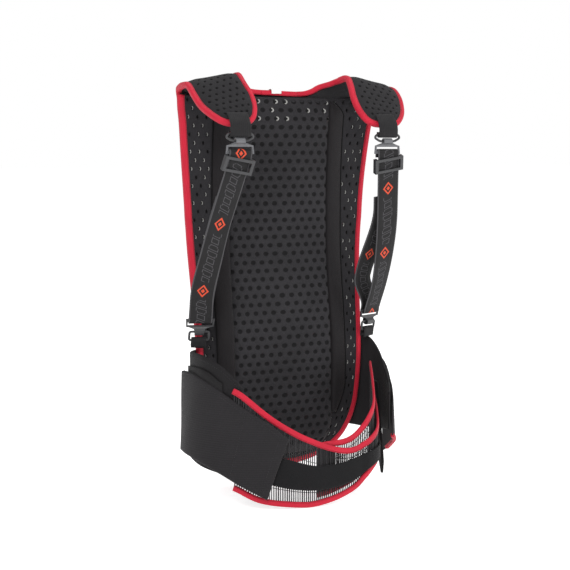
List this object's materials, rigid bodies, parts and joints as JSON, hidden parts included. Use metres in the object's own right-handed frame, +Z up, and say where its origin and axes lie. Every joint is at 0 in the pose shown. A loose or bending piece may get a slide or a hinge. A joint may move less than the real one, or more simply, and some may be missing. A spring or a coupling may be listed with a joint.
{
  "type": "back protector",
  "caption": "Padded back protector with shoulder flaps, clip-on elastic braces and a wrap-round kidney belt with hook-and-loop closure.",
  "frame": {"origin": "middle of the flat land on the rear cover, at mid-back height on the centre line", "axes": "+Z up along the spine, +Y away from the wearer (rear), -Y toward the belt closure, +X toward the wearer's left-hand side"},
  "size_m": [0.3074, 0.1769, 0.5405],
  "materials": {
    "foam": "closed-cell foam, matt",
    "black_shell": "plain woven, matt",
    "black_mesh": "perforated spacer mesh",
    "red_tape": "grosgrain binding tape",
    "white_label": "woven satin, blank",
    "webbing": null,
    "ladder_mesh": "open ladder mesh",
    "loop_pile": "hook-and-loop pile",
    "grey_plastic": "moulded, satin",
    "black_plastic": "moulded, satin"
  },
  "bodies": {
    "back_panel": {"rear_cover": "black_shell", "protector_insert": "foam", "back_liner": "black_mesh", "centre_pad_cover": "black_mesh", "side_gusset_left": "black_shell", "side_gusset_right": "black_shell", "panel_binding": "red_tape", "neck_binding": "red_tape", "neck_label": "white_label", "anchor_tab_left": "webbing", "anchor_tab_right": "webbing"},
    "shoulder_flap_left": {"shoulder_pad_left": "black_mesh", "shoulder_binding_left": "red_tape", "webbing_tab_left": "webbing"},
    "ring_left": {"upper_ring_left": "black_plastic"},
    "hook_left": {"upper_hook_left": "grey_plastic"},
    "brace_strap_left": {"brace_left": "webbing"},
    "adjuster_left": {"tri_glide_left": "black_plastic"},
    "clip_left": {"lower_hook_left": "grey_plastic"},
    "lower_ring_body_left": {"lower_ring_left": "black_plastic"},
    "shoulder_flap_right": {"shoulder_pad_right": "black_mesh", "shoulder_binding_right": "red_tape", "webbing_tab_right": "webbing"},
    "ring_right": {"upper_ring_right": "black_plastic"},
    "hook_right": {"upper_hook_right": "grey_plastic"},
    "brace_strap_right": {"brace_right": "webbing"},
    "adjuster_right": {"tri_glide_right": "black_plastic"},
    "clip_right": {"lower_hook_right": "grey_plastic"},
    "lower_ring_body_right": {"lower_ring_right": "black_plastic"},
    "belt_left": {"kidney_wing_left": "black_mesh", "middle_elastic_left": "ladder_mesh", "belt_mesh_outer": "ladder_mesh", "mesh_tape_outer_top": "red_tape", "mesh_tape_outer_bottom": "red_tape", "landing_strip": "loop_pile", "closure_patch": "loop_pile"},
    "belt_right": {"kidney_wing_right": "black_mesh", "belt_mesh_inner": "ladder_mesh", "mesh_tape_inner_top": "red_tape", "mesh_tape_inner_bottom": "red_tape"},
    "tension_wing_left": {"outer_wing_left": "black_shell", "hook_patch_left": "loop_pile"},
    "tension_wing_right": {"outer_wing_right": "black_shell", "hook_patch_right": "loop_pile"}
  },
  "joints": [
    {"name": "flap_lift_left", "type": "hinge", "parent": "back_panel", "child": "shoulder_flap_left", "pos_m": [-0.105, -0.0135, 0.162], "axis": [-1, 0, 0], "range_deg": [0, 35]},
    {"name": "ring_swing_left", "type": "hinge", "parent": "shoulder_flap_left", "child": "ring_left", "pos_m": [-0.103, -0.13, 0.108], "axis": [1, 0, 0], "range_deg": [0, 35]},
    {"name": "hook_swing_left", "type": "hinge", "parent": "ring_left", "child": "hook_left", "pos_m": [-0.103, -0.13, 0.0994], "axis": [-1, 0, 0], "range_deg": [0, 40]},
    {"name": "strap_swing_left", "type": "hinge", "parent": "hook_left", "child": "brace_strap_left", "pos_m": [-0.103, -0.13, 0.0854], "axis": [-1, 0, 0], "range_deg": [0, 25]},
    {"name": "adjuster_slide_left", "type": "slide", "parent": "brace_strap_left", "child": "adjuster_left", "axis": [-0.1784, 0.3282, -0.9276], "range_m": [0, 0.05]},
    {"name": "clip_swing_left", "type": "hinge", "parent": "brace_strap_left", "child": "clip_left", "pos_m": [-0.124, -0.05, -0.128], "axis": [-0.9397, 0.342, 0], "range_deg": [0, 12]},
    {"name": "lower_ring_swing_left", "type": "hinge", "parent": "back_panel", "child": "lower_ring_body_left", "pos_m": [-0.124, -0.04352, -0.15421], "axis": [0.9397, -0.342, 0], "range_deg": [0, 17]},
    {"name": "flap_lift_right", "type": "hinge", "parent": "back_panel", "child": "shoulder_flap_right", "pos_m": [0.105, -0.0135, 0.162], "axis": [-1, 0, 0], "range_deg": [0, 35]},
    {"name": "ring_swing_right", "type": "hinge", "parent": "shoulder_flap_right", "child": "ring_right", "pos_m": [0.103, -0.13, 0.108], "axis": [1, 0, 0], "range_deg": [0, 35]},
    {"name": "hook_swing_right", "type": "hinge", "parent": "ring_right", "child": "hook_right", "pos_m": [0.103, -0.13, 0.0994], "axis": [-1, 0, 0], "range_deg": [0, 40]},
    {"name": "strap_swing_right", "type": "hinge", "parent": "hook_right", "child": "brace_strap_right", "pos_m": [0.103, -0.13, 0.0854], "axis": [-1, 0, 0], "range_deg": [0, 25]},
    {"name": "adjuster_slide_right", "type": "slide", "parent": "brace_strap_right", "child": "adjuster_right", "axis": [0.1784, 0.3282, -0.9276], "range_m": [0, 0.05]},
    {"name": "clip_swing_right", "type": "hinge", "parent": "brace_strap_right", "child": "clip_right", "pos_m": [0.124, -0.05, -0.128], "axis": [-0.9397, -0.342, 0], "range_deg": [0, 12]},
    {"name": "lower_ring_swing_right", "type": "hinge", "parent": "back_panel", "child": "lower_ring_body_right", "pos_m": [0.124, -0.04352, -0.15421], "axis": [0.9397, 0.342, 0], "range_deg": [0, 17]},
    {"name": "belt_open_left", "type": "hinge", "parent": "back_panel", "child": "belt_left", "pos_m": [-0.124, -0.024, -0.23], "axis": [0, 0, -1], "range_deg": [0, 70]},
    {"name": "belt_open_right", "type": "hinge", "parent": "back_panel", "child": "belt_right", "pos_m": [0.124, -0.024, -0.23], "axis": [0, 0, 1], "range_deg": [-6, 0]},
    {"name": "tension_peel_left", "type": "hinge", "parent": "belt_left", "child": "tension_wing_left", "pos_m": [-0.138, -0.03, -0.245], "axis": [0, 0, -1], "range_deg": [0, 40]},
    {"name": "tension_peel_right", "type": "hinge", "parent": "belt_right", "child": "tension_wing_right", "pos_m": [0.1405, -0.05, -0.245], "axis": [0, 0, 1], "range_deg": [0, 40]}
  ],
  "couplings": [
    {"joint": "ring_swing_left", "follows": "flap_lift_left", "ratio": 1},
    {"joint": "lower_ring_swing_left", "follows": "clip_swing_left", "ratio": 1.35},
    {"joint": "ring_swing_right", "follows": "flap_lift_right", "ratio": 1},
    {"joint": "lower_ring_swing_right", "follows": "clip_swing_right", "ratio": 1.35}
  ]
}
